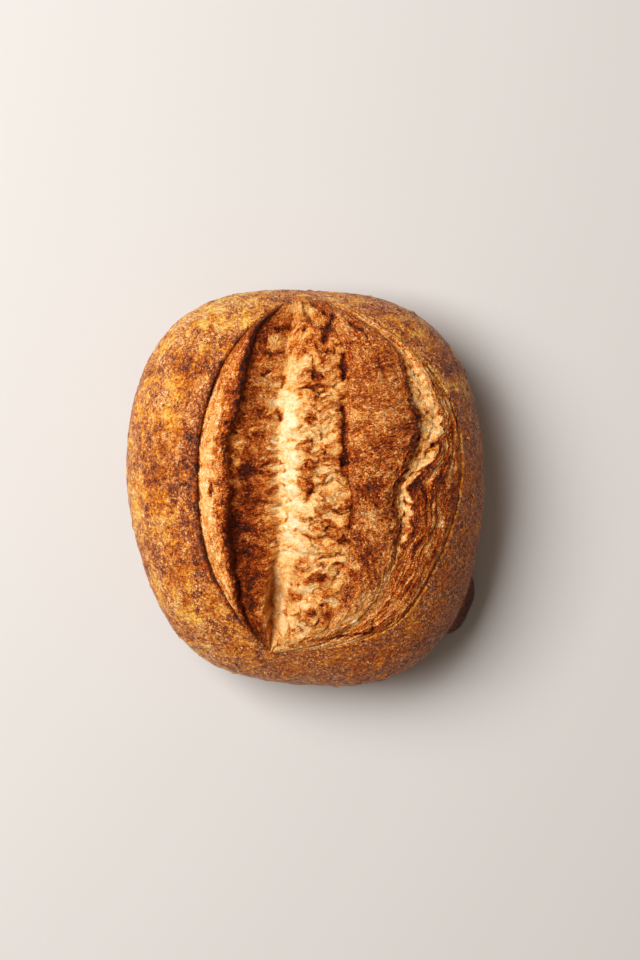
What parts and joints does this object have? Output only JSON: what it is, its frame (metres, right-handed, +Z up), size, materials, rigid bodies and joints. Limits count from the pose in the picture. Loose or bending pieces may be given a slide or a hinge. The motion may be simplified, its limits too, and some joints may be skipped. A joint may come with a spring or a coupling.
{
  "type": "sourdough loaf",
  "caption": "Rounded-square hearth loaf whose crown has burst open along a lengthwise score, with a raised ear, a torn pale valley and a floating raft of crust.",
  "frame": {"origin": "middle of the flat base, under the centre of the loaf's box", "axes": "+Z up through the crown; +Y along the loaf's longer side, towards the far end of the score; +X towards the side with the second tear, with the ear on the -X side"},
  "size_m": [0.2077, 0.2292, 0.0984],
  "materials": {
    "crust": "baked bread crust, golden brown to dark brown, dull with a slight shine on the blistered skin"
  },
  "bodies": {
    "root": {"loaf": "crust"}
  },
  "joints": []
}
